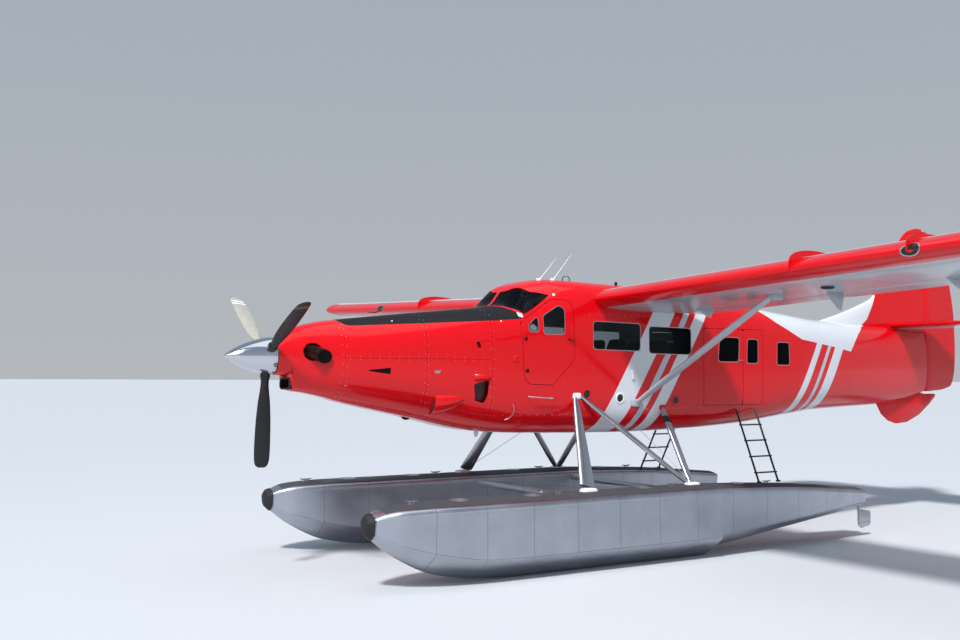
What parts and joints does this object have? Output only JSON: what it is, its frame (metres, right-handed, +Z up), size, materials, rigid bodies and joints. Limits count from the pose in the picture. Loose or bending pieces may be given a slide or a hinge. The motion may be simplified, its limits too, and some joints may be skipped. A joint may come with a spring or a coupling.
{
  "type": "turboprop floatplane",
  "caption": "High-wing single-turboprop floatplane on twin floats, with opening doors, turning propeller and moving control surfaces, flaps and water rudders.",
  "frame": {"origin": "on the ground, under the middle of the overall length, on the centre plane", "axes": "nose towards -X, starboard wing towards +Y, +Z up"},
  "size_m": [14.307, 17.629, 5.2],
  "materials": {
    "red_paint": "gloss",
    "grey_paint": "satin",
    "bare_aluminium": "satin",
    "polished_aluminium": "polished",
    "blade_paint": "satin",
    "engine_castings": "matte",
    "exhaust_steel": "satin",
    "glazing": "gloss",
    "trim_white": "satin",
    "interior_plastic": "matte",
    "floor_panel": "matte",
    "seat_fabric": "matte",
    "bumper_rubber": "matte",
    "ladder_paint": "satin"
  },
  "bodies": {
    "airframe": {"nose_bowl": "red_paint", "upper_engine_cowl": "red_paint", "lower_engine_cowl": "red_paint", "engine_block": "engine_castings", "left_exhaust_stub": "exhaust_steel", "right_exhaust_stub": "exhaust_steel", "left_side_wall": "red_paint", "right_side_wall": "red_paint", "cabin_roof": "red_paint", "belly_skin": "red_paint", "windshield": "glazing", "windshield_frame": "trim_white", "firewall": "bare_aluminium", "cabin_floor": "floor_panel", "instrument_panel": "interior_plastic", "left_cabin_windows": "glazing", "right_cabin_windows": "glazing", "left_rear_window": "glazing", "right_rear_window": "glazing", "seats": "seat_fabric", "tail_cone": "red_paint", "fin": "red_paint", "ventral_fin": "red_paint", "tailplane": "grey_paint", "left_wing": "red_paint", "right_wing": "red_paint", "left_wing_strut": "grey_paint", "right_wing_strut": "grey_paint", "left_float": "bare_aluminium", "right_float": "bare_aluminium", "left_bow_bumper": "bumper_rubber", "right_bow_bumper": "bumper_rubber", "left_float_struts": "bare_aluminium", "right_float_struts": "bare_aluminium", "front_spreader_bar": "bare_aluminium", "rear_spreader_bar": "bare_aluminium", "left_boarding_ladder": "ladder_paint", "right_boarding_ladder": "ladder_paint"},
    "propeller": {"spinner": "polished_aluminium", "propeller_blade_1": "blade_paint", "propeller_blade_2": "blade_paint", "propeller_blade_3": "blade_paint"},
    "left_crew_door": {"left_crew_door": "red_paint", "left_crew_door_glass": "glazing"},
    "right_crew_door": {"right_crew_door": "red_paint", "right_crew_door_glass": "glazing"},
    "left_cabin_door_front": {"left_cabin_door_front": "red_paint", "left_cabin_door_front_glass": "glazing"},
    "left_cabin_door_rear": {"left_cabin_door_rear": "red_paint", "left_cabin_door_rear_glass": "glazing"},
    "right_cabin_door": {"right_cabin_door": "red_paint", "right_cabin_door_glass": "glazing"},
    "rudder": {"rudder": "red_paint"},
    "elevator": {"elevator": "grey_paint"},
    "left_aileron": {"left_aileron": "grey_paint"},
    "right_aileron": {"right_aileron": "grey_paint"},
    "left_flap": {"left_flap": "grey_paint"},
    "right_flap": {"right_flap": "grey_paint"},
    "left_water_rudder": {"left_water_rudder": "bare_aluminium"},
    "right_water_rudder": {"right_water_rudder": "bare_aluminium"}
  },
  "joints": [
    {"name": "propeller_spin", "type": "hinge", "parent": "airframe", "child": "propeller", "pos_m": [-6.6215, 0, 2.68], "axis": [1, 0, 0], "continuous": true},
    {"name": "left_crew_door_hinge", "type": "hinge", "parent": "airframe", "child": "left_crew_door", "pos_m": [-3.3635, -0.847, 2.73], "axis": [0, 0, -1], "range_deg": [0, 80]},
    {"name": "right_crew_door_hinge", "type": "hinge", "parent": "airframe", "child": "right_crew_door", "pos_m": [-3.3635, 0.847, 2.73], "axis": [0, 0, 1], "range_deg": [0, 80]},
    {"name": "left_cabin_door_front_hinge", "type": "hinge", "parent": "airframe", "child": "left_cabin_door_front", "pos_m": [-0.1155, -0.85, 2.58], "axis": [0, 0, -1], "range_deg": [0, 90]},
    {"name": "left_cabin_door_rear_hinge", "type": "hinge", "parent": "airframe", "child": "left_cabin_door_rear", "pos_m": [1.1325, -0.84, 2.58], "axis": [0, 0, 1], "range_deg": [0, 120]},
    {"name": "right_cabin_door_hinge", "type": "hinge", "parent": "airframe", "child": "right_cabin_door", "pos_m": [0.2745, 0.848, 2.58], "axis": [0, 0, 1], "range_deg": [0, 90]},
    {"name": "rudder_hinge", "type": "hinge", "parent": "airframe", "child": "rudder", "pos_m": [6.2485, 0, 3.68], "axis": [0, 0, 1], "range_deg": [-25, 25]},
    {"name": "elevator_hinge", "type": "hinge", "parent": "airframe", "child": "elevator", "pos_m": [6.1135, 0, 3.38], "axis": [0, 1, 0], "range_deg": [-25, 15]},
    {"name": "left_aileron_hinge", "type": "hinge", "parent": "airframe", "child": "left_aileron", "pos_m": [-0.6614, -6.2984, 3.649], "axis": [0, 0.9993, -0.037], "range_deg": [-20, 20]},
    {"name": "right_aileron_hinge", "type": "hinge", "parent": "airframe", "child": "right_aileron", "pos_m": [-0.6614, 6.2984, 3.649], "axis": [0, 0.9993, 0.037], "range_deg": [-20, 20]},
    {"name": "left_flap_hinge", "type": "hinge", "parent": "airframe", "child": "left_flap", "pos_m": [-0.6614, -2.7008, 3.5159], "axis": [0, 0.9993, -0.037], "range_deg": [0, 40]},
    {"name": "right_flap_hinge", "type": "hinge", "parent": "airframe", "child": "right_flap", "pos_m": [-0.6614, 2.7008, 3.5159], "axis": [0, 0.9993, 0.037], "range_deg": [0, 40]},
    {"name": "left_water_rudder_steer", "type": "hinge", "parent": "airframe", "child": "left_water_rudder", "pos_m": [2.3785, -1.573, 0.48], "axis": [0, 0, 1], "range_deg": [-30, 30]},
    {"name": "right_water_rudder_steer", "type": "hinge", "parent": "airframe", "child": "right_water_rudder", "pos_m": [2.3785, 1.573, 0.48], "axis": [0, 0, 1], "range_deg": [-30, 30]}
  ],
  "couplings": [
    {"joint": "right_aileron_hinge", "follows": "left_aileron_hinge", "ratio": -1},
    {"joint": "right_flap_hinge", "follows": "left_flap_hinge", "ratio": 1},
    {"joint": "left_water_rudder_steer", "follows": "rudder_hinge", "ratio": 1.2},
    {"joint": "right_water_rudder_steer", "follows": "rudder_hinge", "ratio": 1.2}
  ]
}
